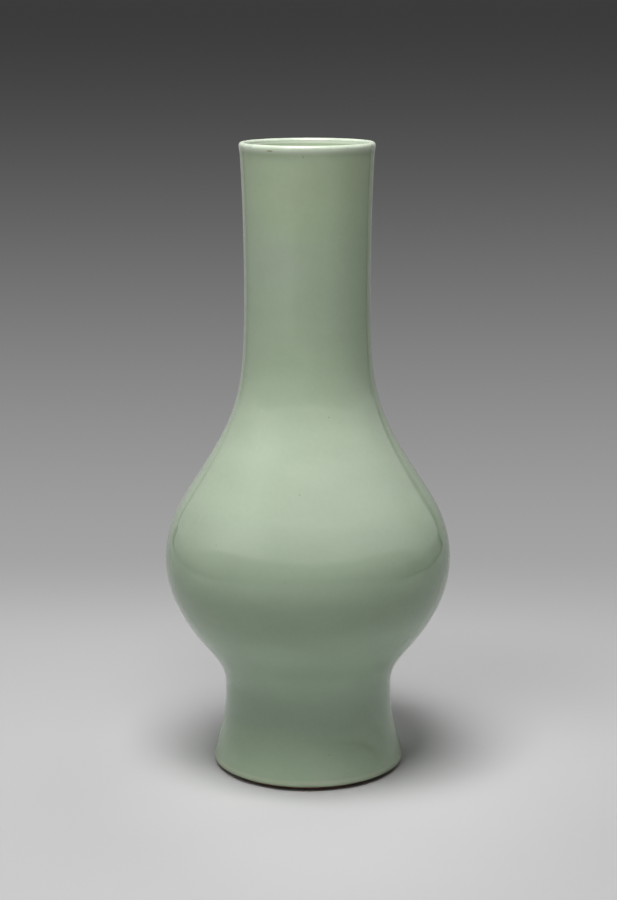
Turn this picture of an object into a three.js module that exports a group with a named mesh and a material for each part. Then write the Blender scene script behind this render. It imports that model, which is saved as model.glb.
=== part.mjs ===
// A tall celadon vase with a long neck, a pear-shaped belly and a spreading foot.
// It is thrown in four porcelain sections, luted together with slip, glazed inside and out
// and dressed with an iron-brown wash on the bare rim that it stands on.
// Sizes are millimetres, +Z is up and the origin is the middle of the standing face.
import * as THREE from "three";

const { clamp, lerp, mapLinear, smoothstep } = THREE.MathUtils;

// Finished outside: radii and heights of the places that set its outline
const HEIGHT = 420;
const FOOT_RADIUS = 64.7;
const FOOT_HEIGHT = 4.2;
const WAIST_RADIUS = 56.2;
const WAIST_HEIGHT = 54.9;
const BELLY_RADIUS = 95.6;
const BELLY_HEIGHT = 143.3;
const NECK_RADIUS = 41.5;
const MOUTH_RADIUS = 43.9;

// Places between those, by their rise and their step out or in from the one below
const FLARE_RISE = 4.8;
const FLARE_STEP_IN = 1.2;
const SLOPE_RISE = 22;
const SLOPE_STEP_OUT = 8;
const SHOULDER_RISE = 55.2;
const SHOULDER_STEP_IN = 21.1;

// Lean of the outline, as outward run per rise, where it isn't upright
const FLARE_LEAN = -0.272;
const SLOPE_LEAN = 0.735;
const SHOULDER_LEAN = -0.646;
const MOUTH_LEAN = 0.057;

// How long the outline keeps its lean below and above each place, as a share of that stretch
const FOOT_HOLD = { above: 0.35 };
const FLARE_HOLD = { below: 0.35, above: 0.39 };
const WAIST_HOLD = { below: 0.4, above: 0.18 };
const SLOPE_HOLD = { below: 0.49, above: 0.18 };
const BELLY_HOLD = { below: 0.49, above: 0.45 };
const SHOULDER_HOLD = { below: 0.27, above: 0.35 };
const NECK_HOLD = { below: 0.56, above: 0.43 };
const MOUTH_HOLD = { below: 0.28 };

// Lip: a rolled edge. The neck swells towards it, ever faster from the foot of its band to the roll.
const LIP_RISE = 2.3;
const LIP_SWELL = 0.45;
const LIP_BAND = 8;
const LIP_ROLL = 1;

// Walls and coats
const WAIST_WALL = 6.5;
const MOUTH_WALL = 2.6;
const OUTER_GLAZE = 0.8;
const INNER_GLAZE = 0.5;
const LIP_GLAZE = 0.4;
const BASE_GLAZE = 0.5;
const WASH = 0.3;
const COAT_FIT = 0.05; // between the back of a coat and what it covers

// Seams between the sections, at the waist, the widest place and the root of the neck
const NECK_SEAM_HEIGHT = 262;
const NECK_NARROWEST = 0.42; // share of the neck's length that lies below its narrowest place
const SLIP_THICKNESS = 1.2;
const SLIP_RIDGE_WIDTH = 8;
const SLIP_RIDGE_HEIGHT = 0.8;

// Foot rim, the recess under it and the floor inside
const GLAZE_TUCK = 1.7;
const BARE_RIM_HEIGHT = 3;
const STANDING_WIDTH = 4.2;
const INNER_BEVEL = 1.2;
const RECESS_DEPTH = 14;
const RECESS_FILLET = 4;
const FLOOR_THICKNESS = 8;
const FLOOR_FILLET = 14;

// Facets round the axis and along each stretch of the outline
const SIDES = 32;
const FOOT_STEPS = 2;
const LOWER_BELLY_STEPS = 6;
const SHOULDER_STEPS = 7;
const NECK_STEPS = 4;
const FLOOR_STEPS = 4;
const RECESS_STEPS = 2;
const LIP_STEPS = 3;
const TUCK_STEPS = 2;

// Sizes that follow from those
const MOUTH_HEIGHT = HEIGHT - LIP_RISE;
const NECK_HEIGHT = lerp(NECK_SEAM_HEIGHT, MOUTH_HEIGHT, NECK_NARROWEST);
const GLAZE_EDGE_RADIUS = FOOT_RADIUS - GLAZE_TUCK;
const RIM_OUTER_RADIUS = GLAZE_EDGE_RADIUS - BARE_RIM_HEIGHT;
const RIM_INNER_RADIUS = RIM_OUTER_RADIUS - STANDING_WIDTH;
const RECESS_RADIUS = RIM_INNER_RADIUS - INNER_BEVEL;
const FLOOR_HEIGHT = RECESS_DEPTH + BASE_GLAZE + FLOOR_THICKNESS;

// Points here are (radius, height).
const point = (radius, height) => new THREE.Vector2(radius, height);

// The stretch of the outline between two places, as one cubic curve.
function stretch(low, high) {
  const rise = high.height - low.height;
  const above = low.hold.above * rise;
  const below = high.hold.below * rise;
  return new THREE.CubicBezierCurve(
    point(low.radius, low.height),
    point(low.radius + low.lean * above, low.height + above),
    point(high.radius - high.lean * below, high.height - below),
    point(high.radius, high.height),
  );
}

const foot = { radius: FOOT_RADIUS, height: FOOT_HEIGHT, lean: 0, hold: FOOT_HOLD };
const flare = {
  radius: FOOT_RADIUS - FLARE_STEP_IN,
  height: FOOT_HEIGHT + FLARE_RISE,
  lean: FLARE_LEAN,
  hold: FLARE_HOLD,
};
const waist = { radius: WAIST_RADIUS, height: WAIST_HEIGHT, lean: 0, hold: WAIST_HOLD };
const slope = {
  radius: WAIST_RADIUS + SLOPE_STEP_OUT,
  height: WAIST_HEIGHT + SLOPE_RISE,
  lean: SLOPE_LEAN,
  hold: SLOPE_HOLD,
};
const belly = { radius: BELLY_RADIUS, height: BELLY_HEIGHT, lean: 0, hold: BELLY_HOLD };
const shoulder = {
  radius: BELLY_RADIUS - SHOULDER_STEP_IN,
  height: BELLY_HEIGHT + SHOULDER_RISE,
  lean: SHOULDER_LEAN,
  hold: SHOULDER_HOLD,
};
const neck = { radius: NECK_RADIUS, height: NECK_HEIGHT, lean: 0, hold: NECK_HOLD };
const mouth = { radius: MOUTH_RADIUS, height: MOUTH_HEIGHT, lean: MOUTH_LEAN, hold: MOUTH_HOLD };
const PLACES = [foot, flare, waist, slope, belly, shoulder, neck, mouth];
const OUTLINE = PLACES.slice(1).map((place, i) => stretch(PLACES[i], place));

// The outline's point at a height, and the direction square to it that leads away from the axis.
function outlineAt(height) {
  const curve = OUTLINE.find((each) => height <= each.v3.y) ?? OUTLINE.at(-1);
  const halvings = 40;
  let low = 0;
  let high = 1;
  for (let i = 0; i < halvings; i += 1) {
    const middle = (low + high) / 2;
    if (curve.getPoint(middle).y < height) low = middle;
    else high = middle;
  }
  const along = curve.getTangent(high);
  return { on: curve.getPoint(high), out: point(along.y, -along.x) };
}

// The point that lies a given depth inside the outline at a height.
function inside(height, depth) {
  const { on, out } = outlineAt(height);
  return on.addScaledVector(out, -depth);
}

// Depth of each surface of the wall below the outline
const lipRise = (height) => mapLinear(height, MOUTH_HEIGHT - LIP_BAND, MOUTH_HEIGHT - LIP_ROLL, 0, 1);
const lipShare = (height) => clamp(lipRise(height), 0, 1) ** 2;
const coat = (height, full) => lerp(full, LIP_GLAZE, lipShare(height));
const wall = (height) => mapLinear(height, WAIST_HEIGHT, MOUTH_HEIGHT, WAIST_WALL, MOUTH_WALL);
const skinDepth = (height) => -LIP_SWELL * lipShare(height);
const bodyDepth = (height) => skinDepth(height) + coat(height, OUTER_GLAZE);
const boreDepth = (height) => coat(height, OUTER_GLAZE) + wall(height);
const ridgeDepth = (height) => boreDepth(height) + slipRidge(height);
const liningDepth = (height) => ridgeDepth(height) + coat(height, INNER_GLAZE);
const coatBackDepth = (height) => bodyDepth(height) - COAT_FIT;
const liningBackDepth = (height) => ridgeDepth(height) + COAT_FIT;

const SEAMS = [WAIST_HEIGHT, BELLY_HEIGHT, NECK_SEAM_HEIGHT];

// Slip squeezed out at a seam stands proud of the inner wall, tapering off on both sides.
function slipRidge(height) {
  const off = Math.min(...SEAMS.map((seam) => Math.abs(height - seam)));
  const level = 1 - smoothstep(off, SLIP_THICKNESS / 2, SLIP_RIDGE_WIDTH / 2);
  return SLIP_RIDGE_HEIGHT * level;
}

// Heights at which the wall is drawn, from one end of a section to the other
function spread(from, to, steps) {
  return Array.from({ length: steps + 1 }, (_, i) => from + ((to - from) * i) / steps);
}
const belowSeam = (seam) => seam - SLIP_THICKNESS / 2;
const aboveSeam = (seam) => seam + SLIP_THICKNESS / 2;
const ridgeFoot = (seam) => seam - SLIP_RIDGE_WIDTH / 2;
const ridgeTop = (seam) => seam + SLIP_RIDGE_WIDTH / 2;
const FOOT_HEIGHTS = [
  foot.height,
  (foot.height + flare.height) / 2,
  ...spread(flare.height, ridgeFoot(WAIST_HEIGHT), FOOT_STEPS),
  belowSeam(WAIST_HEIGHT),
];
const LOWER_BELLY_HEIGHTS = [
  aboveSeam(WAIST_HEIGHT),
  ...spread(ridgeTop(WAIST_HEIGHT), ridgeFoot(BELLY_HEIGHT), LOWER_BELLY_STEPS),
  belowSeam(BELLY_HEIGHT),
];
const SHOULDER_HEIGHTS = [
  aboveSeam(BELLY_HEIGHT),
  ...spread(ridgeTop(BELLY_HEIGHT), ridgeFoot(NECK_SEAM_HEIGHT), SHOULDER_STEPS),
  belowSeam(NECK_SEAM_HEIGHT),
];
const NECK_HEIGHTS = [
  aboveSeam(NECK_SEAM_HEIGHT),
  ...spread(ridgeTop(NECK_SEAM_HEIGHT), MOUTH_HEIGHT - LIP_BAND, NECK_STEPS),
  MOUTH_HEIGHT - LIP_BAND / 2,
  MOUTH_HEIGHT - LIP_ROLL,
  MOUTH_HEIGHT,
];
const ALL_HEIGHTS = [...FOOT_HEIGHTS, ...LOWER_BELLY_HEIGHTS, ...SHOULDER_HEIGHTS, ...NECK_HEIGHTS];

// The wall's surface at a depth, upwards over a list of heights
const surface = (heights, depth) => heights.map((height) => inside(height, depth(height)));

// A quarter of an ellipse from one end to the other, upright at the first and level at the last.
function quarter(upright, level, steps) {
  return spread(0, Math.PI / 2, steps).map((turn) =>
    point(
      level.x + (upright.x - level.x) * Math.cos(turn),
      upright.y + (level.y - upright.y) * Math.sin(turn),
    ),
  );
}

// The rounded top of the lip, over the outer edge, the crest and the inner edge
function lipCap(outer, inner, crestHeight) {
  const crest = point((outer.x + inner.x) / 2, crestHeight);
  const fall = quarter(inner, crest, LIP_STEPS).reverse();
  return [...quarter(outer, crest, LIP_STEPS), ...fall.slice(1)];
}

// Inside the foot the wall runs from the waist's seam down to the top of the floor's fillet.
const FOOT_BORE_HEIGHTS = [ridgeFoot(WAIST_HEIGHT), belowSeam(WAIST_HEIGHT)];
const FILLET_TOP = FLOOR_HEIGHT + FLOOR_FILLET;

// From the wall inside the foot down through the fillet and in to the axis
function floorCurve(depth, floorHeight) {
  const start = inside(FILLET_TOP, depth(FILLET_TOP));
  const edge = point(inside(FILLET_TOP, boreDepth(FILLET_TOP)).x - FLOOR_FILLET, floorHeight);
  return [...quarter(start, edge, FLOOR_STEPS), point(0, floorHeight)];
}

// From the axis out under the base, round the fillet and down the wall of the recess
function recessCurve(coatDepth) {
  const radius = RECESS_RADIUS + coatDepth;
  const ceiling = RECESS_DEPTH + coatDepth;
  const bend = RECESS_FILLET + coatDepth;
  const turn = quarter(point(radius, ceiling - bend), point(radius - bend, ceiling), RECESS_STEPS);
  return [point(0, ceiling), ...turn.reverse(), point(radius, INNER_BEVEL)];
}

// The rim that stands on the table, from the recess to the glaze's lower edge. Its bevels are at
// 45 degrees, so a cut parallel to all three faces moves their ends by these shares of its depth.
function rimCurve(cut) {
  const across = cut * Math.SQRT2;
  const mitre = across - cut;
  return [
    point(RECESS_RADIUS + across, INNER_BEVEL),
    point(RIM_INNER_RADIUS + mitre, cut),
    point(RIM_OUTER_RADIUS - mitre, cut),
    point(GLAZE_EDGE_RADIUS - across, BARE_RIM_HEIGHT),
  ];
}

// The outside of the foot curls in from its widest place to the glaze's lower edge.
function tuckCurve(depth, edgeRadius) {
  const widest = inside(FOOT_HEIGHT, depth(FOOT_HEIGHT));
  return quarter(widest, point(edgeRadius, BARE_RIM_HEIGHT), TUCK_STEPS).reverse().slice(0, -1);
}

// A solid turned from a profile that runs up the outside and down the inside
function turned(name, profile, material) {
  const geometry = new THREE.LatheGeometry(profile, SIDES);
  geometry.rotateX(Math.PI / 2);
  const mesh = new THREE.Mesh(geometry, material);
  mesh.name = name;
  return mesh;
}
const ring = (name, up, down, material) => turned(name, [...up, ...down, up[0].clone()], material);

// Fired porcelain, off-white and unglazed
const porcelain = new THREE.MeshStandardMaterial({ color: 0xe8e4d9, roughness: 0.75, metalness: 0 });

// Slip of the same clay, a little more chalky
const slip = new THREE.MeshStandardMaterial({ color: 0xded9cc, roughness: 0.85, metalness: 0 });

// Pale sea-green celadon glaze
const celadon = new THREE.MeshStandardMaterial({ color: 0xa4b49c, roughness: 0.12, metalness: 0 });

// The same glaze run thin, so that the porcelain shows through
const thinCeladon = new THREE.MeshStandardMaterial({ color: 0xcfd9c6, roughness: 0.12, metalness: 0 });

// Iron-brown wash, dry and matt
const ironWash = new THREE.MeshStandardMaterial({ color: 0x5b3220, roughness: 0.8, metalness: 0 });

// The foot section carries the floor and the rim.
function footSection() {
  const outside = [...tuckCurve(bodyDepth, GLAZE_EDGE_RADIUS), ...surface(FOOT_HEIGHTS, bodyDepth)];
  const bore = surface(FOOT_BORE_HEIGHTS, boreDepth).reverse();
  const profile = [
    ...recessCurve(BASE_GLAZE),
    ...rimCurve(WASH),
    ...outside,
    ...bore,
    ...floorCurve(boreDepth, FLOOR_HEIGHT),
  ];
  return turned("foot_section", profile, porcelain);
}

// The belly's two halves are plain turned walls.
function wallSection(name, heights) {
  return ring(name, surface(heights, bodyDepth), surface(heights, boreDepth).reverse(), porcelain);
}

// The neck section ends in the rolled lip.
function neckSection() {
  const outside = surface(NECK_HEIGHTS, bodyDepth);
  const bore = surface(NECK_HEIGHTS, boreDepth);
  const lip = lipCap(outside.at(-1), bore.at(-1), HEIGHT - LIP_GLAZE).slice(1, -1);
  return ring("neck_section", [...outside, ...lip], bore.reverse(), porcelain);
}

// Slip fills a seam and stands out inside as a low ridge.
function lute(name, seam) {
  const low = belowSeam(seam);
  const high = aboveSeam(seam);
  const ends = [ridgeFoot(seam), ridgeTop(seam)];
  const [ridgeStart, ridgeEnd] = surface(ends, boreDepth);
  const [boreLow, boreHigh] = surface([low, high], boreDepth);
  const [crownLow, crownHigh] = surface([low, high], ridgeDepth);
  const face = [boreHigh, ridgeEnd, crownHigh, crownLow, ridgeStart, boreLow];
  return ring(name, surface([low, high], bodyDepth), face, slip);
}

// The outer coat gathers in a roll at its lower edge and runs thin towards the lip.
function outerGlaze() {
  const rollEdge = (FOOT_RADIUS + GLAZE_EDGE_RADIUS) / 2;
  const outside = [...tuckCurve(skinDepth, rollEdge), ...surface(ALL_HEIGHTS, skinDepth)];
  const edge = GLAZE_EDGE_RADIUS + COAT_FIT;
  const back = [...tuckCurve(coatBackDepth, edge), ...surface(ALL_HEIGHTS, coatBackDepth)];
  return ring("outer_glaze", outside, back.reverse(), celadon);
}

function lipGlaze() {
  const at = (depth) => inside(MOUTH_HEIGHT, depth(MOUTH_HEIGHT));
  const over = lipCap(at(skinDepth), at(liningDepth), HEIGHT);
  const under = lipCap(at(coatBackDepth), at(liningBackDepth), HEIGHT - LIP_GLAZE + COAT_FIT);
  return ring("lip_glaze", over, under.reverse(), thinCeladon);
}

// The lining runs from the lip down the neck and belly and over the floor.
function innerGlaze() {
  const heights = [...FOOT_BORE_HEIGHTS, ...ALL_HEIGHTS.slice(FOOT_HEIGHTS.length)];
  const back = [
    ...floorCurve(liningBackDepth, FLOOR_HEIGHT + COAT_FIT).reverse(),
    ...surface(heights, liningBackDepth),
  ];
  const face = [
    ...surface(heights, liningDepth).reverse(),
    ...floorCurve(liningDepth, FLOOR_HEIGHT + INNER_GLAZE),
  ];
  return turned("inner_glaze", [...back, ...face], celadon);
}

// The recess under the base has a coat of its own.
function baseGlaze() {
  const profile = [...recessCurve(0), ...recessCurve(BASE_GLAZE - COAT_FIT).reverse()];
  return turned("base_glaze", profile, celadon);
}

// The bare rim is brushed with wash over both bevels and the standing face.
function footWash() {
  return ring("foot_wash", rimCurve(0), rimCurve(WASH - COAT_FIT).reverse(), ironWash);
}

const body = new THREE.Group();
body.add(
  footSection(),
  lute("foot_lute", WAIST_HEIGHT),
  wallSection("lower_belly_section", LOWER_BELLY_HEIGHTS),
  lute("belly_lute", BELLY_HEIGHT),
  wallSection("shoulder_section", SHOULDER_HEIGHTS),
  lute("neck_lute", NECK_SEAM_HEIGHT),
  neckSection(),
);

const coats = new THREE.Group();
coats.add(outerGlaze(), lipGlaze(), innerGlaze(), baseGlaze(), footWash());

const vase = new THREE.Group();
vase.name = "vase";
vase.add(body, coats);

export default vase;
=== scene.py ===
"""A tall celadon vase in soft studio light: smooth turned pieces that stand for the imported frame's nodes."""

import math
from collections import namedtuple

import bpy
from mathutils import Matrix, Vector


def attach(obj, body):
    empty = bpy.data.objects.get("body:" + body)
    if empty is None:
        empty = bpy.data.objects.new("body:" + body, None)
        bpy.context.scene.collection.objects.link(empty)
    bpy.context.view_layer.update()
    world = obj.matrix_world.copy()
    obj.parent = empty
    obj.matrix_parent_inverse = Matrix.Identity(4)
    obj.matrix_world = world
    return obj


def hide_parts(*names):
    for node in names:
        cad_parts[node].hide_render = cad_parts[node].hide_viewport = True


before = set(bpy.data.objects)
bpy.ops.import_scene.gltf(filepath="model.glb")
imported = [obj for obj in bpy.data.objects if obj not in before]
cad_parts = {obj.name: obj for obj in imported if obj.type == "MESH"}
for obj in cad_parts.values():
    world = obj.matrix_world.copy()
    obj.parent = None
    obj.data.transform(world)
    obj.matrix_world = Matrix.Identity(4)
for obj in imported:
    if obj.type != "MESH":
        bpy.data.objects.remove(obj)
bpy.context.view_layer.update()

# Turned shape, in millimetres, in the frame of the part: +Z up, origin at the middle of the standing face
MM = 0.001
HEIGHT = 420
LIP_RISE = 2.3
LIP_SWELL = 0.45
LIP_BAND = 8
LIP_ROLL = 1
WAIST_HEIGHT = 54.9
BELLY_HEIGHT = 143.3
NECK_SEAM_HEIGHT = 262
NECK_NARROWEST = 0.42
FOOT_RADIUS = 64.7
FOOT_HEIGHT = 4.2
WAIST_WALL = 6.5
MOUTH_WALL = 2.6
OUTER_GLAZE = 0.8
INNER_GLAZE = 0.5
LIP_GLAZE = 0.4
BASE_GLAZE = 0.5
WASH = 0.3
COAT_FIT = 0.05
SLIP_THICKNESS = 1.2
SLIP_RIDGE_WIDTH = 8
SLIP_RIDGE_HEIGHT = 0.8
GLAZE_TUCK = 1.7
BARE_RIM_HEIGHT = 3
STANDING_WIDTH = 4.2
INNER_BEVEL = 1.2
RECESS_DEPTH = 14
RECESS_FILLET = 4
FLOOR_THICKNESS = 8
FLOOR_FILLET = 14

MOUTH_HEIGHT = HEIGHT - LIP_RISE
NECK_HEIGHT = NECK_SEAM_HEIGHT + (MOUTH_HEIGHT - NECK_SEAM_HEIGHT) * NECK_NARROWEST
GLAZE_EDGE_RADIUS = FOOT_RADIUS - GLAZE_TUCK
RIM_OUTER_RADIUS = GLAZE_EDGE_RADIUS - BARE_RIM_HEIGHT
RIM_INNER_RADIUS = RIM_OUTER_RADIUS - STANDING_WIDTH
RECESS_RADIUS = RIM_INNER_RADIUS - INNER_BEVEL
FLOOR_HEIGHT = RECESS_DEPTH + BASE_GLAZE + FLOOR_THICKNESS
FILLET_TOP = FLOOR_HEIGHT + FLOOR_FILLET
SEAMS = (WAIST_HEIGHT, BELLY_HEIGHT, NECK_SEAM_HEIGHT)

# A place on the outline: its lean, outward run per rise, holds for a share of the stretch below and above
Place = namedtuple("Place", "radius height lean below above")
PLACES = (
    Place(FOOT_RADIUS, FOOT_HEIGHT, 0, 0, 0.35),
    Place(63.5, 9, -0.272, 0.35, 0.39),
    Place(56.2, WAIST_HEIGHT, 0, 0.4, 0.18),
    Place(64.2, 76.9, 0.735, 0.49, 0.18),
    Place(95.6, BELLY_HEIGHT, 0, 0.49, 0.45),
    Place(74.5, 198.5, -0.646, 0.27, 0.35),
    Place(41.5, NECK_HEIGHT, 0, 0.56, 0.43),
    Place(43.9, MOUTH_HEIGHT, 0.057, 0.28, 0),
)

# How finely the pieces are turned: sides round the axis, and steps of height in millimetres
SKIN_SIDES = 256
SIDES = 160
SKIN_STEP = 2
LIP_STEP = 0.5
WALL_STEP = 6
FOOT_STEP = 3
RIDGE_STEP = 0.5
ROUND_STEPS = 12  # how many there are in a quarter turn
BISECTIONS = 40  # how often a curve is halved to find a height on it
SHARP_ANGLE = math.radians(35)  # steeper edges are not shaded smooth


def spread(start, end, steps):
    """Evenly spaced values from start to end."""
    return [start + (end - start) * i / steps for i in range(steps + 1)]


def heights_between(start, end, step):
    """Heights from start to end, about a step apart."""
    return spread(start, end, max(1, round((end - start) / step)))


def smoothstep(value, low, high):
    share = min(1, max(0, (value - low) / (high - low)))
    return share * share * (3 - 2 * share)


def lerp(start, end, share):
    return start + (end - start) * share


def curve_between(low, high):
    """The four control points of the outline between two places."""
    rise = high.height - low.height
    up = low.above * rise
    down = high.below * rise
    return (
        Vector((low.radius, low.height)),
        Vector((low.radius + low.lean * up, low.height + up)),
        Vector((high.radius - high.lean * down, high.height - down)),
        Vector((high.radius, high.height)),
    )


OUTLINE = [curve_between(low, high) for low, high in zip(PLACES, PLACES[1:])]


def on_curve(points, t):
    a, b, c, d = points
    s = 1 - t
    return s**3 * a + 3 * s * s * t * b + 3 * s * t * t * c + t**3 * d


def along_curve(points, t):
    a, b, c, d = points
    s = 1 - t
    return s * s * (b - a) + 2 * s * t * (c - b) + t * t * (d - c)


def inside(height, depth):
    """The point that lies a given depth inside the outline at a height."""
    curve = next((c for c in OUTLINE if height <= c[3].y), OUTLINE[-1])
    low, high = 0.0, 1.0
    for _ in range(BISECTIONS):
        middle = (low + high) / 2
        if on_curve(curve, middle).y < height:
            low = middle
        else:
            high = middle
    along = along_curve(curve, high).normalized()
    return on_curve(curve, high) - depth * Vector((along.y, -along.x))


def lip_share(height):
    """0 below the lip's band, rising to 1 where the lip rolls over."""
    rise = (height - MOUTH_HEIGHT + LIP_BAND) / (LIP_BAND - LIP_ROLL)
    return min(1, max(0, rise)) ** 2


def coat(height, full):
    """How thick a coat of glaze is, given its thickness below the lip."""
    return lerp(full, LIP_GLAZE, lip_share(height))


def wall(height):
    """How thick the porcelain is, thinning from the waist to the mouth."""
    share = (height - WAIST_HEIGHT) / (MOUTH_HEIGHT - WAIST_HEIGHT)
    return lerp(WAIST_WALL, MOUTH_WALL, share)


def slip_ridge(height):
    """How far the slip squeezed out at the nearest seam stands proud of the inner wall."""
    off = min(abs(height - seam) for seam in SEAMS)
    return SLIP_RIDGE_HEIGHT * (1 - smoothstep(off, SLIP_THICKNESS / 2, SLIP_RIDGE_WIDTH / 2))


# Depth of each surface of the wall below the outline
def skin_depth(height):
    return -LIP_SWELL * lip_share(height)


def body_depth(height):
    return skin_depth(height) + coat(height, OUTER_GLAZE)


def bore_depth(height):
    return coat(height, OUTER_GLAZE) + wall(height)


def ridge_depth(height):
    return bore_depth(height) + slip_ridge(height)


def lining_depth(height):
    return ridge_depth(height) + coat(height, INNER_GLAZE)


def coat_back_depth(height):
    return body_depth(height) - COAT_FIT


def lining_back_depth(height):
    return ridge_depth(height) + COAT_FIT


# Stretches of profile, as points of radius and height
def surface(heights, depth):
    return [inside(height, depth(height)) for height in heights]


def quarter(upright, level):
    """A quarter of an ellipse, upright at its first end and level at its last."""
    return [
        Vector((
            level.x + (upright.x - level.x) * math.cos(turn),
            upright.y + (level.y - upright.y) * math.sin(turn),
        ))
        for turn in spread(0, math.pi / 2, ROUND_STEPS)
    ]


def lip_cap(outer, inner, crest_height):
    """The rounded top of the lip, over the outer edge, the crest and the inner edge."""
    crest = Vector(((outer.x + inner.x) / 2, crest_height))
    return quarter(outer, crest) + quarter(inner, crest)[-2::-1]


def at_mouth(depth):
    return inside(MOUTH_HEIGHT, depth(MOUTH_HEIGHT))


def floor_curve(depth, floor_height):
    """From the wall inside the foot down through the fillet and in to the axis."""
    start = inside(FILLET_TOP, depth(FILLET_TOP))
    edge_radius = inside(FILLET_TOP, bore_depth(FILLET_TOP)).x - FLOOR_FILLET
    return quarter(start, Vector((edge_radius, floor_height))) + [Vector((0, floor_height))]


def recess_curve(coat_depth):
    """From the axis out under the base, round the fillet and down the wall of the recess."""
    radius = RECESS_RADIUS + coat_depth
    ceiling = RECESS_DEPTH + coat_depth
    bend = RECESS_FILLET + coat_depth
    turn = quarter(Vector((radius, ceiling - bend)), Vector((radius - bend, ceiling)))
    return [Vector((0, ceiling))] + turn[::-1] + [Vector((radius, INNER_BEVEL))]


def rim_curve(cut):
    """The bevelled rim that stands on the table, from the recess to the glaze's lower edge."""
    across = cut * math.sqrt(2)
    mitre = across - cut
    return [
        Vector((RECESS_RADIUS + across, INNER_BEVEL)),
        Vector((RIM_INNER_RADIUS + mitre, cut)),
        Vector((RIM_OUTER_RADIUS - mitre, cut)),
        Vector((GLAZE_EDGE_RADIUS - across, BARE_RIM_HEIGHT)),
    ]


def tuck_curve(depth, edge_radius):
    """The outside of the foot, from the glaze's lower edge out to just below its widest place."""
    widest = inside(FOOT_HEIGHT, depth(FOOT_HEIGHT))
    return quarter(widest, Vector((edge_radius, BARE_RIM_HEIGHT)))[:0:-1]


def turned(name, profile, sides):
    """A closed mesh turned round +Z from a profile that runs up the outside and down the inside."""
    on_axis = profile[0].x == 0
    loop = profile[1:-1] if on_axis else profile
    turns = [2 * math.pi * j / sides for j in range(sides)]
    points = [
        (p.x * MM * math.cos(turn), p.x * MM * math.sin(turn), p.y * MM)
        for p in loop
        for turn in turns
    ]
    faces = []
    for i in range(len(loop) - 1 if on_axis else len(loop)):
        this, after = i * sides, (i + 1) % len(loop) * sides
        for j in range(sides):
            k = (j + 1) % sides
            faces.append((this + j, this + k, after + k, after + j))
    if on_axis:
        last = (len(loop) - 1) * sides
        points += [(0, 0, profile[0].y * MM), (0, 0, profile[-1].y * MM)]
        start, end = len(points) - 2, len(points) - 1
        for j in range(sides):
            k = (j + 1) % sides
            faces.append((start, k, j))
            faces.append((last + j, last + k, end))
    mesh = bpy.data.meshes.new(name)
    mesh.from_pydata(points, [], faces)
    mesh.shade_smooth()
    mesh.set_sharp_from_angle(angle=SHARP_ANGLE)
    made = bpy.data.objects.new(name, mesh)
    bpy.context.scene.collection.objects.link(made)
    return made


# Node helpers
NOISE_RANGE = (0.3, 0.7)  # where most values of a noise lie


def add_node(tree, kind, settings=None, **inputs):
    """A node with its settings and inputs; an input is named or numbered, and takes a value or a socket."""
    made = tree.nodes.new(kind)
    for key, value in (settings or {}).items():
        setattr(made, key, value)
    for key, value in inputs.items():
        socket = made.inputs[int(key[1:]) if key[0] == "i" else key]
        if isinstance(value, bpy.types.NodeSocket):
            tree.links.new(value, socket)
        else:
            socket.default_value = value
    return made


def maths(tree, operation, *values):
    inputs = {f"i{i}": value for i, value in enumerate(values)}
    return add_node(tree, "ShaderNodeMath", {"operation": operation}, **inputs).outputs[0]


def vector_maths(tree, operation, first, second):
    settings = {"operation": operation}
    return add_node(tree, "ShaderNodeVectorMath", settings, i0=first, i1=second).outputs[0]


def length(tree, vector):
    return add_node(tree, "ShaderNodeVectorMath", {"operation": "LENGTH"}, i0=vector).outputs["Value"]


def mix(tree, share, first, second, blend="MIX"):
    settings = {"data_type": "RGBA", "blend_type": blend}
    return add_node(tree, "ShaderNodeMix", settings, i0=share, i6=first, i7=second).outputs[2]


def float_mix(tree, share, first, second):
    settings = {"data_type": "FLOAT"}
    return add_node(tree, "ShaderNodeMix", settings, i0=share, i2=first, i3=second).outputs[0]


def ramp(tree, value, low, high, start=0.0, end=1.0):
    """Smoothly from start to end as value runs from low to high."""
    settings = {"interpolation_type": "SMOOTHSTEP"}
    made = add_node(tree, "ShaderNodeMapRange", settings, i0=value, i1=low, i2=high, i3=start, i4=end)
    return made.outputs[0]


def fade(tree, value, low, high):
    """Smoothly from 1 to 0 as value runs from low to high."""
    return ramp(tree, value, low, high, 1.0, 0.0)


def noise(tree, where, scale, detail=3.0, roughness=0.5):
    inputs = {"Vector": where, "Scale": scale, "Detail": detail, "Roughness": roughness}
    return add_node(tree, "ShaderNodeTexNoise", **inputs).outputs["Fac"]


def axes(tree, where):
    """The X, Y and Z of a place."""
    return add_node(tree, "ShaderNodeSeparateXYZ", Vector=where).outputs


def object_place(tree):
    return add_node(tree, "ShaderNodeTexCoord").outputs["Object"]


def height_of(tree, where):
    return axes(tree, where)["Z"]


def distance_out(tree, where):
    """How far a place lies from the vase's axis."""
    split = axes(tree, where)
    level = add_node(tree, "ShaderNodeCombineXYZ", X=split["X"], Y=split["Y"]).outputs[0]
    return length(tree, level)


def stretched(tree, where, times):
    """Coordinates scaled by a different amount along each axis."""
    return vector_maths(tree, "MULTIPLY", where, times)


def shaded(tree, colour, value, low, high):
    """A colour made darker or lighter, from low to high over the range of a noise."""
    return mix(tree, 1.0, colour, ramp(tree, value, *NOISE_RANGE, low, high), "MULTIPLY")


def tinted(tree, colour, mask, tint, most):
    """A colour mixed with a tint, up to a share of it where the mask is 1."""
    return mix(tree, maths(tree, "MULTIPLY", mask, most), colour, tint)


def coloured(tree, shader, colour):
    tree.links.new(colour, shader.inputs["Base Color"])


def roughened(tree, shader, value, low, high):
    """Roughness from low to high over the range of a noise."""
    tree.links.new(ramp(tree, value, *NOISE_RANGE, low, high), shader.inputs["Roughness"])


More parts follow.
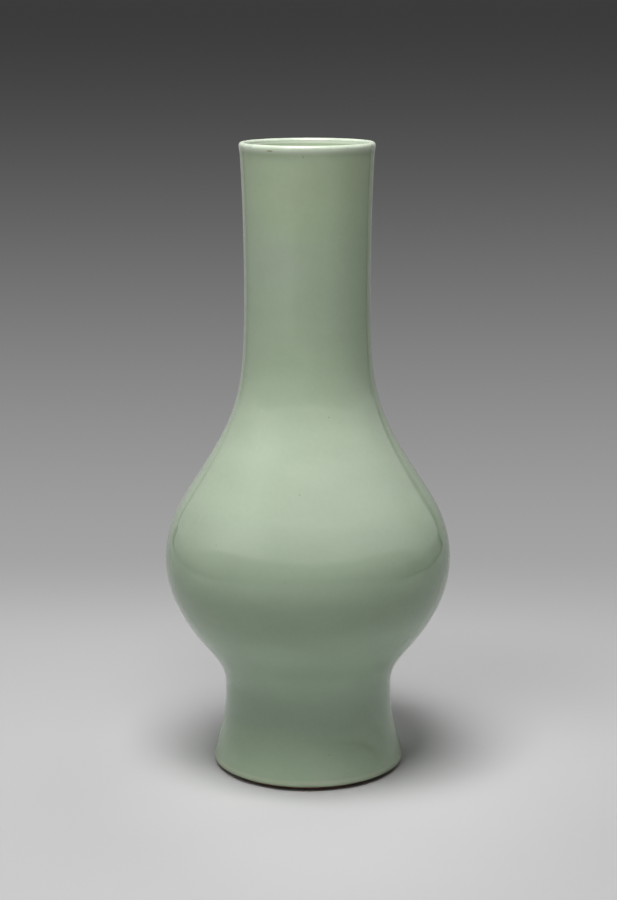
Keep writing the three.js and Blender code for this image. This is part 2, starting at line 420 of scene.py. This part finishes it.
def bumped(tree, shader, height, depth):
    """A relief of a given depth in metres."""
    made = add_node(tree, "ShaderNodeBump", Strength=1.0, Distance=depth, Height=height)
    tree.links.new(made.outputs[0], shader.inputs["Normal"])


def new_material(name):
    made = bpy.data.materials.new(name)
    made.use_nodes = True
    return made, made.node_tree, made.node_tree.nodes["Principled BSDF"]


# Glaze and clay colours, linear
CELADON_FOOT = (0.342, 0.446, 0.307, 1)
# Greyer and bluer from just above the foot up the waist: painted sheen of the pale sheet that the glaze
# mirrors there, over the glaze's green
CELADON_WAIST_PAINTED_SHEEN = (0.335, 0.446, 0.321, 1)
# Darker under the belly: painted shade where the glaze faces down
CELADON_UNDER_PAINTED_SHADE = (0.323, 0.417, 0.294, 1)
CELADON_BELLY = (0.337, 0.412, 0.302, 1)
# Lighter on the shoulder: painted light where it faces up to the key lamp
CELADON_SHOULDER_PAINTED_LIGHT = (0.367, 0.444, 0.327, 1)
CELADON_NECK = (0.341, 0.424, 0.301, 1)
# Warmer where the glaze runs thin at the neck's top, and lighter there with painted light
CELADON_TOP_THIN_AND_PAINTED_LIGHT = (0.366, 0.446, 0.303, 1)
# Greyer glaze for clouds in it, and for a painted reflection on the front of the shoulder
CELADON_CLOUD_AND_REFLECTION = (0.36, 0.404, 0.334, 1)
CELADON_PALE = (0.58, 0.65, 0.52, 1)
CELADON_LIP = (0.5, 0.56, 0.45, 1)
CELADON_EDGE = (0.6, 0.59, 0.43, 1)
PINHOLE = (0.17, 0.18, 0.1, 1)
OLIVE_MARK = (0.24, 0.21, 0.08, 1)
PORCELAIN = (0.81, 0.78, 0.69, 1)
PORCELAIN_WARM = (0.74, 0.69, 0.58, 1)
SLIP = (0.73, 0.69, 0.6, 1)
SLIP_GREY = (0.6, 0.57, 0.5, 1)
IRON_WASH = (0.42, 0.125, 0.045, 1)
# Dark grey on the rim's lower part: painted shade of its underside and of the contact shadow below it
IRON_WASH_PAINTED_SHADE = (0.08, 0.06, 0.055, 1)

# Tints that the glaze takes on from the foot up, each over a stretch of height in millimetres; those at the
# waist, under the belly, on the shoulder and at the neck's top hold painted sheen, shade and light
TINTS = (
    (30, 42, CELADON_WAIST_PAINTED_SHEEN),
    (80, 135, CELADON_UNDER_PAINTED_SHADE),
    (135, 185, CELADON_BELLY),
    (185, 225, CELADON_SHOULDER_PAINTED_LIGHT),
    (225, 280, CELADON_NECK),
    (340, 395, CELADON_TOP_THIN_AND_PAINTED_LIGHT),
)

# Where the glaze runs thin and pale, in millimetres: along its lower edge, and up to the lip
FOOT_EDGE_START = (3.6, 5)
FOOT_EDGE_END = (6, 8)
FOOT_EDGE_SHARE = 0.28
PALE_TOP = MOUTH_HEIGHT - 0.3
PALE_OUTSIDE = MOUTH_HEIGHT - 3.9  # where it starts on the outside of the neck
PALE_INSIDE = MOUTH_HEIGHT - 1.7
LIP_MIDDLE = (41.5, 43)  # radii between which the inside turns to the outside

# A soft spot in the glaze, in millimetres: its middle, how much narrower it is along each axis, its radius
Spot = namedtuple("Spot", "middle narrower radius")
SPOT_CORE = 0.3  # share of the radius that is not faded
FLECK = Spot((-23.6, -37.5, 416.5), (1, 0.6, 3.5), 3)
FLECK_SHARE = 0.7
DARK_PINHOLE = Spot((-2.5, -43.9, 413.1), (2.5, 1, 1), 1)
CLOUD_AND_REFLECTION_SPOTS = (
    # A greyer patch on the front of the shoulder: painted reflection of the key lamp's broad sheen
    Spot((20, -85, 200), (1, 0.5, 1.6), 70),
    # A cloud in the glaze on the neck
    Spot((-15, -40, 345), (1, 0.5, 1.6), 40),
)
CLOUD_AND_REFLECTION_SHARE = 0.25
DRIFT_SHARE = 0.15  # of the fainter clouds all over
DRIFT_RANGE = (0.45, 0.7)

# Tiny dark dots all over the glaze, with a radius in millimetres
PINHOLES_PER_METRE = 70
PINHOLE_RADIUS = 0.8
PINHOLE_CORE = 0.4  # share of the radius that is not faded
PINHOLE_LEAST = 0.6  # share of the places that stay empty
PINHOLE_SHARE = 0.45

# Gloss of the glaze, mottle and roughness of the clay, and the heights over which the wash turns from painted
# shade below to its bright flush
GLAZE_IOR = 1.5
MOTTLE_RANGE = (0.35, 0.75)
CLAY_ROUGH_SPREAD = 0.08
FLUSH = (0.8, 2.8)


def height_ramp(tree, height, low, high):
    """Smoothly from 0 to 1 between two heights in millimetres."""
    return ramp(tree, height, low * MM, high * MM)


def in_spot(tree, where, spot):
    """1 in the middle of a spot, 0 outside it."""
    middle = [part * MM for part in spot.middle]
    off = vector_maths(tree, "SUBTRACT", where, middle)
    far = length(tree, stretched(tree, off, spot.narrower))
    radius = spot.radius * MM
    return fade(tree, far, radius * SPOT_CORE, radius)


def in_pinhole(tree, where):
    """1 in sparse tiny dots, 0 elsewhere."""
    cells = add_node(tree, "ShaderNodeTexVoronoi", Vector=where, Scale=PINHOLES_PER_METRE)
    radius = PINHOLE_RADIUS * MM * PINHOLES_PER_METRE
    dots = fade(tree, cells.outputs["Distance"], radius * PINHOLE_CORE, radius)
    pick = add_node(tree, "ShaderNodeSeparateColor", Color=cells.outputs["Color"]).outputs[0]
    return maths(tree, "MULTIPLY", dots, maths(tree, "GREATER_THAN", pick, PINHOLE_LEAST))


def cloudiness_and_reflection(tree, where):
    """How much the glaze greys: faintly all over and in a cloud on the neck, and with a painted reflection on
    the front of the shoulder.
    """
    clouds = ramp(tree, noise(tree, where, scale=11), *DRIFT_RANGE, 0.0, DRIFT_SHARE)
    for cloud in CLOUD_AND_REFLECTION_SPOTS:
        more = maths(tree, "MULTIPLY", in_spot(tree, where, cloud), CLOUD_AND_REFLECTION_SHARE)
        clouds = maths(tree, "ADD", clouds, more)
    return clouds


def foot_edge(tree, height):
    """1 in the roll of glaze along the foot, 0 elsewhere."""
    start = height_ramp(tree, height, *FOOT_EDGE_START)
    low, high = FOOT_EDGE_END
    return maths(tree, "MULTIPLY", start, fade(tree, height, low * MM, high * MM))


def under_lip(tree, where, height):
    """0 on the neck, rising to 1 at the lip."""
    low, high = LIP_MIDDLE
    start = ramp(tree, distance_out(tree, where), low * MM, high * MM, PALE_INSIDE * MM, PALE_OUTSIDE * MM)
    return ramp(tree, height, start, PALE_TOP * MM)


def celadon_material(name):
    """Glossy sea-green glaze, paler where it runs thin over edges; greyer and bluer at the waist with painted
    sheen, darker under the belly with painted shade, lighter on the shoulder and the neck's top with painted
    light, and with a painted reflection on the front of the shoulder.
    """
    made, tree, shader = new_material(name)
    where = object_place(tree)
    height = height_of(tree, where)
    colour = CELADON_FOOT
    for low, high, tint in TINTS:
        colour = mix(tree, height_ramp(tree, height, low, high), colour, tint)
    colour = mix(tree, cloudiness_and_reflection(tree, where), colour, CELADON_CLOUD_AND_REFLECTION)
    rings = noise(tree, stretched(tree, where, times=(1, 1, 2.5)), scale=24)
    colour = shaded(tree, colour, rings, low=0.975, high=1.02)
    grain = noise(tree, where, scale=300, detail=2)
    colour = shaded(tree, colour, grain, low=0.985, high=1.01)
    colour = tinted(tree, colour, foot_edge(tree, height), CELADON_EDGE, FOOT_EDGE_SHARE)
    colour = mix(tree, under_lip(tree, where, height), colour, CELADON_PALE)
    colour = tinted(tree, colour, in_pinhole(tree, where), PINHOLE, PINHOLE_SHARE)
    colour = mix(tree, in_spot(tree, where, DARK_PINHOLE), colour, PINHOLE)
    colour = tinted(tree, colour, in_spot(tree, where, FLECK), OLIVE_MARK, FLECK_SHARE)
    coloured(tree, shader, colour)
    roughened(tree, shader, noise(tree, where, scale=60), low=0.03, high=0.055)
    shader.inputs["IOR"].default_value = GLAZE_IOR
    bumped(tree, shader, noise(tree, where, scale=18, detail=1), depth=0.00006)
    return made


def thin_material(name):
    """The same glaze run thin over the lip, so that the porcelain shows through unevenly."""
    made, tree, shader = new_material(name)
    where = object_place(tree)
    coloured(tree, shader, shaded(tree, CELADON_LIP, noise(tree, where, scale=90), low=0.92, high=1.04))
    roughened(tree, shader, noise(tree, where, scale=120), low=0.22, high=0.32)
    bumped(tree, shader, noise(tree, where, scale=60, detail=1), depth=0.00003)
    return made


def clay_material(name, colour, other, grain, rough):
    """Fired clay: mottled, finely grained and ringed from the wheel."""
    made, tree, shader = new_material(name)
    where = object_place(tree)
    mottle = ramp(tree, noise(tree, where, scale=40), *MOTTLE_RANGE)
    tint = mix(tree, mottle, colour, other)
    tint = shaded(tree, tint, noise(tree, where, grain, detail=4, roughness=0.6), low=0.93, high=1.03)
    coloured(tree, shader, tint)
    low, high = rough - CLAY_ROUGH_SPREAD, rough + CLAY_ROUGH_SPREAD
    roughened(tree, shader, noise(tree, where, grain), low, high)
    rings = noise(tree, stretched(tree, where, times=(20, 20, 350)), scale=1, detail=2)
    bumped(tree, shader, rings, depth=0.0001)
    return made


def wash_material(name):
    """Iron wash brushed round the rim, streaked, with a bright flush along the glaze's edge; below that it is
    painted dark grey, as shade under the rim.
    """
    made, tree, shader = new_material(name)
    where = object_place(tree)
    flush = height_ramp(tree, height_of(tree, where), *FLUSH)
    streaks = noise(tree, stretched(tree, where, times=(60, 60, 900)), scale=1, detail=4)
    # Painted shade on the rim's lower part, the wash's own colour above
    colour = mix(tree, flush, IRON_WASH_PAINTED_SHADE, IRON_WASH)
    coloured(tree, shader, shaded(tree, colour, streaks, low=0.75, high=1.15))
    roughened(tree, shader, streaks, low=0.7, high=0.9)
    bumped(tree, shader, noise(tree, where, scale=900), depth=0.00008)
    return made


glaze = celadon_material("celadon glaze")
thin_glaze = thin_material("thin glaze")
porcelain = clay_material("porcelain", PORCELAIN, PORCELAIN_WARM, grain=900, rough=0.75)
slip = clay_material("slip", SLIP, SLIP_GREY, grain=600, rough=0.85)
iron_wash_and_shade = wash_material("iron wash and painted shade")


def piece(name, node, profile, material, sides=SIDES):
    """A turned piece on the root body that stands for a node of the frame."""
    made = turned(name, profile, sides)
    made.data.materials.append(material)
    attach(made, "root")
    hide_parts(node)


def below(seam):
    return seam - SLIP_THICKNESS / 2


def above(seam):
    return seam + SLIP_THICKNESS / 2


# Fired porcelain sections
wall_ends = {
    "lower_belly_section": (above(WAIST_HEIGHT), below(BELLY_HEIGHT)),
    "shoulder_section": (above(BELLY_HEIGHT), below(NECK_SEAM_HEIGHT)),
}
for node, (low, high) in wall_ends.items():
    heights = heights_between(low, high, WALL_STEP)
    profile = surface(heights, body_depth) + surface(heights, bore_depth)[::-1]
    piece(node.replace("_section", "_wall"), node, profile, porcelain)

heights = heights_between(above(NECK_SEAM_HEIGHT), MOUTH_HEIGHT, WALL_STEP)
outside = surface(heights, body_depth)
bore = surface(heights, bore_depth)
lip = lip_cap(outside[-1], bore[-1], HEIGHT - LIP_GLAZE)[1:-1]
piece("neck_wall", "neck_section", outside + lip + bore[::-1], porcelain)

heights = heights_between(FOOT_HEIGHT, below(WAIST_HEIGHT), FOOT_STEP)
foot_bore = heights_between(FILLET_TOP, below(WAIST_HEIGHT), FOOT_STEP)[1:]
profile = (
    recess_curve(BASE_GLAZE)
    + rim_curve(WASH)
    + tuck_curve(body_depth, GLAZE_EDGE_RADIUS)[:-1]
    + surface(heights, body_depth)
    + surface(foot_bore, bore_depth)[::-1]
    + floor_curve(bore_depth, FLOOR_HEIGHT)
)
piece("foot_wall", "foot_section", profile, porcelain)

# Slip in the seams, standing out inside as low ridges
for node, seam in zip(("foot_lute", "belly_lute", "neck_lute"), SEAMS):
    ridge = heights_between(seam - SLIP_RIDGE_WIDTH / 2, seam + SLIP_RIDGE_WIDTH / 2, RIDGE_STEP)
    low, high = below(seam), above(seam)
    profile = (
        surface([low, high], body_depth)
        + surface([high, ridge[-1]], bore_depth)
        + surface(ridge[-2:0:-1], ridge_depth)
        + surface([ridge[0], low], bore_depth)
    )
    piece(node.replace("_lute", "_seam"), node, profile, slip)

# Coats of glaze, and wash on the bare rim
skin_heights = heights_between(FOOT_HEIGHT, MOUTH_HEIGHT - LIP_BAND, SKIN_STEP)
skin_heights += heights_between(MOUTH_HEIGHT - LIP_BAND, MOUTH_HEIGHT, LIP_STEP)[1:]
back_heights = heights_between(FOOT_HEIGHT, MOUTH_HEIGHT, WALL_STEP)
roll_edge = (FOOT_RADIUS + GLAZE_EDGE_RADIUS) / 2
front = tuck_curve(skin_depth, roll_edge) + surface(skin_heights, skin_depth)[1:]
back = tuck_curve(coat_back_depth, GLAZE_EDGE_RADIUS + COAT_FIT)
back += surface(back_heights, coat_back_depth)[1:]
piece("outer_coat", "outer_glaze", front + back[::-1], glaze, SKIN_SIDES)

over = lip_cap(at_mouth(skin_depth), at_mouth(lining_depth), HEIGHT)
under = lip_cap(at_mouth(coat_back_depth), at_mouth(lining_back_depth), HEIGHT - LIP_GLAZE + COAT_FIT)
piece("lip_coat", "lip_glaze", over + under[::-1], thin_glaze, SKIN_SIDES)

lining_heights = heights_between(FILLET_TOP, MOUTH_HEIGHT, SKIN_STEP)[1:]
profile = (
    floor_curve(lining_back_depth, FLOOR_HEIGHT + COAT_FIT)[::-1]
    + surface(lining_heights, lining_back_depth)
    + surface(lining_heights, lining_depth)[::-1]
    + floor_curve(lining_depth, FLOOR_HEIGHT + INNER_GLAZE)
)
piece("inner_coat", "inner_glaze", profile, glaze)

profile = recess_curve(0) + recess_curve(BASE_GLAZE - COAT_FIT)[::-1]
piece("base_coat", "base_glaze", profile, glaze)

profile = rim_curve(0) + rim_curve(WASH - COAT_FIT)[::-1]
piece("rim_wash_and_painted_shade", "foot_wash", profile, iron_wash_and_shade)

# Stage, in metres: a wide pale floor that further off glows with painted light, whose tone falls off away from
# the vase as a lit sheet of paper's does
FLOOR_RADIUS = 400.0
FLOOR_SIDES = 96
FLOOR_ROUGHNESS = 0.9

# The floor's own tone, before and behind the vase, and a painted pool of light round it
FLOOR_TONE = 0.445
FLOOR_BACK_TONE = 0.43
FLOOR_TURN = (-0.1, 0.3)
PAINTED_LIGHT_POOL = 1.14
PAINTED_POOL_REACH = (0.1, 0.28)
PAINTED_POOL_NARROWER = 1.3  # to the sides
PAINTED_POOL_MIDDLE = (0.04, 0, 0)

# The painted light of the sheet further off, a glow which halves over each fall and ends at the far tone
FAR_TONE = 0.0445
BACK_TONE = 0.4
BACK_FALL = 1.468
BACK_POWER = 1.45
FRONT_TONE = 0.657
FRONT_FALL = 2.2
SHEET_TURN = (-0.2, 0.3)
SIDE_START = 0.6
SIDE_SPREAD = 0.25  # how much further out that is, for each metre behind the vase
SIDE_FALL = 1.5
LIT_DEPTH = (0.24, 0.55)  # where the lit sheet takes over from the floor's own shading
LIT_SIDE = (0.4, 0.8)  # the same to the sides, for the camera
LIT_EDGE = (-0.6, -0.3)  # the same to the sides, for the glaze, counted from the sheet's edge

# What the glaze mirrors: the sheet's edges, a dark gap beyond them, then the room's floor
SHEET_HALF_WIDTH = 0.85
SHEET_FRONT = 1.9
SHEET_EDGE = 0.05
GAP_WIDTH = 0.9
GAP_END = 1.3  # how many gap widths out the room's floor has its full tone
SIDE_GAPS = 6  # how many times narrower the gap is at the sides
LEFT_ROOM = 0.3
RIGHT_ROOM = 0.2
SIDE_CHANGE = 0.1  # how far from the middle left turns to right

# The room above the floor, by direction: its walls, a brighter ceiling and a screen on the left
LEFT_TONE = 0.4
RIGHT_TONE = 0.46
WALLS_CHANGE = 0.8
CEILING_TONE = 0.644
CEILING_END = (-0.3, 0.5)
WALL_TOP = 0.27  # sine of the angle up to the ceiling in front
WALL_FALL = (-0.5, 0.6)  # where that comes down to nothing, from front to back
WALL_EDGE = 0.015
SCREEN = 0.6  # how much brighter it makes the ceiling
SCREEN_EDGE = (-0.62, -0.52)
SCREEN_END = (-0.3, 0.1)

# The backdrop behind the vase, with a dark gap between it and the room
LEFT_BACKDROP = 0.36
RIGHT_BACKDROP = 0.26
BACKDROP_EDGE = 0.1
LEFT_SPREAD = 0.75  # how far out the room starts, for each metre behind the vase
RIGHT_SPREAD = 0.91
ROOM_EDGE = 0.003
LEFT_PAPER = 0.72  # how far out the backdrop ends
RIGHT_PAPER = 0.76


def by_side(tree, across, left, right):
    return ramp(tree, across, -SIDE_CHANGE, SIDE_CHANGE, left, right)


def falling(tree, tone, fall):
    """A tone that halves where the fall reaches 1."""
    return maths(tree, "DIVIDE", tone, maths(tree, "ADD", fall, 1.0))


def larger(tree, first, second):
    return maths(tree, "MAXIMUM", first, second)


def paper_with_painted_pool(tree, where):
    """The floor's own tone, raised round the vase by a painted pool of light."""
    paper = ramp(tree, axes(tree, where)["Y"], *FLOOR_TURN, FLOOR_TONE, FLOOR_BACK_TONE)
    off = vector_maths(tree, "SUBTRACT", where, PAINTED_POOL_MIDDLE)
    out = distance_out(tree, stretched(tree, off, (PAINTED_POOL_NARROWER, 1, 1)))
    # Painted pool of light: the paper is paler near the vase
    return maths(tree, "MULTIPLY", paper, ramp(tree, out, *PAINTED_POOL_REACH, PAINTED_LIGHT_POOL, 1.0))


def painted_sheet_light(tree, y):
    """The glow of painted light on the sheet, which falls off before and behind the vase."""
    behind = maths(tree, "DIVIDE", larger(tree, y, 0.0), BACK_FALL)
    back = falling(tree, BACK_TONE, maths(tree, "POWER", behind, BACK_POWER))
    before = larger(tree, maths(tree, "MULTIPLY", y, -1.0), 0.0)
    front = falling(tree, FRONT_TONE, maths(tree, "DIVIDE", before, FRONT_FALL))
    tone = float_mix(tree, ramp(tree, y, *SHEET_TURN), front, back)
    return maths(tree, "ADD", tone, FAR_TONE)


def seen_tone(tree, x, y, tone):
    """The lit sheet as the camera sees it: it also falls off to the sides."""
    wider = maths(tree, "MULTIPLY", y, SIDE_SPREAD)
    beyond = maths(tree, "SUBTRACT", maths(tree, "ABSOLUTE", x), wider)
    aside = larger(tree, maths(tree, "SUBTRACT", beyond, SIDE_START), 0.0)
    return falling(tree, tone, maths(tree, "DIVIDE", aside, SIDE_FALL))


def past_side(tree, x, y):
    """How far a place lies beyond the side of the sheet, which widens behind the vase."""
    spread_out = by_side(tree, x, LEFT_SPREAD, RIGHT_SPREAD)
    half = larger(tree, maths(tree, "MULTIPLY", y, spread_out), SHEET_HALF_WIDTH)
    share_out = maths(tree, "DIVIDE", maths(tree, "ABSOLUTE", x), half)
    return maths(tree, "MULTIPLY", maths(tree, "SUBTRACT", share_out, 1.0), SHEET_HALF_WIDTH)


def mirrored_tone(tree, x, y, tone, beyond):
    """The floor as the glaze mirrors it: the sheet, a dark gap past its edges, and the room's floor."""
    past_front = maths(tree, "SUBTRACT", maths(tree, "MULTIPLY", y, -1.0), SHEET_FRONT)
    past = larger(tree, maths(tree, "MULTIPLY", beyond, SIDE_GAPS), past_front)
    room_tone = ramp(tree, x, -SHEET_HALF_WIDTH, SHEET_HALF_WIDTH, LEFT_ROOM, RIGHT_ROOM)
    in_room = ramp(tree, past, GAP_WIDTH, GAP_WIDTH * GAP_END)
    room = maths(tree, "MULTIPLY", in_room, room_tone)
    sheet_tone = larger(tree, tone, by_side(tree, x, LEFT_BACKDROP, RIGHT_BACKDROP))
    sheet = maths(tree, "MULTIPLY", sheet_tone, fade(tree, past, -SHEET_EDGE, 0.0))
    return maths(tree, "ADD", sheet, room)


def floor_material():
    """Pale paper that keeps the shadow near the vase, and further off turns into a sheet glowing with painted
    light, which the glaze mirrors as a painted reflection.
    """
    made, tree, shader = new_material("floor")
    where = add_node(tree, "ShaderNodeNewGeometry").outputs["Position"]
    path = add_node(tree, "ShaderNodeLightPath").outputs
    split = axes(tree, where)
    x, y = split["X"], split["Y"]
    coloured(tree, shader, paper_with_painted_pool(tree, where))
    shader.inputs["Roughness"].default_value = FLOOR_ROUGHNESS
    shader.inputs["Specular IOR Level"].default_value = 0.0

    # Further off the floor glows: painted light for the camera, and a painted reflection for the glaze
    tone = painted_sheet_light(tree, y)
    beyond = past_side(tree, x, y)
    seen = seen_tone(tree, x, y, tone)
    mirrored = mirrored_tone(tree, x, y, tone, beyond)
    strength = float_mix(tree, path["Is Glossy Ray"], seen, mirrored)
    glow = add_node(tree, "ShaderNodeEmission", Strength=strength)

    lit_depth = ramp(tree, maths(tree, "ABSOLUTE", y), *LIT_DEPTH)
    lit_side = ramp(tree, maths(tree, "ABSOLUTE", x), *LIT_SIDE)
    by_camera = maths(tree, "MULTIPLY", path["Is Camera Ray"], larger(tree, lit_depth, lit_side))
    lit_edge = ramp(tree, beyond, *LIT_EDGE)
    by_glaze = maths(tree, "MULTIPLY", path["Is Glossy Ray"], larger(tree, lit_depth, lit_edge))
    share = larger(tree, by_camera, by_glaze)
    both = add_node(tree, "ShaderNodeMixShader", i0=share, i1=shader.outputs[0], i2=glow.outputs[0])
    tree.links.new(both.outputs[0], tree.nodes["Material Output"].inputs["Surface"])
    return made


rim_turns = [2 * math.pi * j / FLOOR_SIDES for j in range(FLOOR_SIDES)]
floor_rim = [(FLOOR_RADIUS * math.cos(turn), FLOOR_RADIUS * math.sin(turn), 0) for turn in rim_turns]
floor_mesh = bpy.data.meshes.new("floor")
floor_mesh.from_pydata(floor_rim, [], [list(range(FLOOR_SIDES))])
floor_mesh.materials.append(floor_material())
floor = bpy.data.objects.new("floor", floor_mesh)
bpy.context.scene.collection.objects.link(floor)

# Studio light: a soft panel high in front, weak ones at the front left and behind, a little from all round
AMBIENT = 0.0856


def mirrored_room(tree):
    """The room and the backdrop as the glaze mirrors them, by direction."""
    way = axes(tree, add_node(tree, "ShaderNodeTexCoord").outputs["Generated"])
    x, y, z = way["X"], way["Y"], way["Z"]
    across = maths(tree, "ABSOLUTE", x)

    def past(left, right):
        return maths(tree, "SUBTRACT", across, maths(tree, "MULTIPLY", y, by_side(tree, x, left, right)))

    walls = ramp(tree, x, -WALLS_CHANGE, WALLS_CHANGE, LEFT_TONE, RIGHT_TONE)
    above_wall = maths(tree, "SUBTRACT", z, ramp(tree, y, *WALL_FALL, WALL_TOP, 0.0))
    ceiling = ramp(tree, above_wall, -WALL_EDGE, WALL_EDGE, 0.0, CEILING_TONE)
    ceiling = maths(tree, "MULTIPLY", ceiling, fade(tree, y, *CEILING_END))
    screen = ramp(tree, x, *SCREEN_EDGE, SCREEN, 0.0)
    screen = maths(tree, "MULTIPLY", screen, fade(tree, y, *SCREEN_END))
    ceiling = maths(tree, "MULTIPLY", ceiling, maths(tree, "ADD", screen, 1.0))
    in_room = ramp(tree, past(LEFT_SPREAD, RIGHT_SPREAD), 0.0, ROOM_EDGE)
    room = maths(tree, "MULTIPLY", maths(tree, "ADD", walls, ceiling), in_room)
    on_paper = fade(tree, past(LEFT_PAPER, RIGHT_PAPER), -BACKDROP_EDGE, 0.0)
    backdrop = maths(tree, "MULTIPLY", by_side(tree, x, LEFT_BACKDROP, RIGHT_BACKDROP), on_paper)
    return maths(tree, "ADD", room, backdrop)


def studio_world():
    world = bpy.data.worlds.new("studio")
    world.use_nodes = True
    tree = world.node_tree
    path = add_node(tree, "ShaderNodeLightPath").outputs
    seen = float_mix(tree, path["Is Camera Ray"], AMBIENT, FAR_TONE)
    strength = float_mix(tree, path["Is Glossy Ray"], seen, mirrored_room(tree))
    background = tree.nodes["Background"]
    background.inputs["Color"].default_value = (1, 1, 1, 1)
    tree.links.new(strength, background.inputs["Strength"])
    return world


def panel(name, at, width, depth, power, mirrored=False):
    """A flat lamp that shines towards the vase and shows in its glaze only if mirrored."""
    light = bpy.data.lights.new(name, "AREA")
    light.shape = "RECTANGLE"
    light.size = width
    light.size_y = depth
    light.energy = power
    made = bpy.data.objects.new(name, light)
    made.location = at
    towards = Vector((0, 0, HEIGHT * MM / 2)) - made.location
    made.rotation_euler = towards.to_track_quat("-Z", "Y").to_euler()
    made.visible_glossy = mirrored
    bpy.context.scene.collection.objects.link(made)


bpy.context.scene.world = studio_world()
panel("key", at=(-0.113, -0.385, 1.5), width=0.759, depth=0.536, power=26.6, mirrored=True)
panel("front", at=(-1.231, -1.6, 1.4), width=1.2, depth=1.2, power=3.52)
panel("back_left", at=(-0.6, 0.55, 1.1), width=0.6, depth=0.5, power=2.67)
panel("back_right", at=(0.6, 0.55, 1.1), width=0.6, depth=0.5, power=2.13)

# Camera at the photo's place, in metres, with its sensor and focal length in millimetres
CAMERA_DISTANCE = 1.3253
CAMERA_HEIGHT = 0.5017
CAMERA_SIDE = 0.001
CAMERA_TILT = math.radians(12.15)
CAMERA_ROLL = math.radians(0.103)
SENSOR_WIDTH = 36
FOCAL_LENGTH = 81.33
lens = bpy.data.cameras.new("camera")
lens.sensor_width = SENSOR_WIDTH
lens.lens = FOCAL_LENGTH
camera = bpy.data.objects.new("camera", lens)
bpy.context.scene.collection.objects.link(camera)
camera.location = (CAMERA_SIDE, -CAMERA_DISTANCE, CAMERA_HEIGHT)
camera.rotation_euler = (math.pi / 2 - CAMERA_TILT, CAMERA_ROLL, 0)
bpy.context.scene.camera = camera
bpy.context.scene.view_settings.view_transform = "Standard"
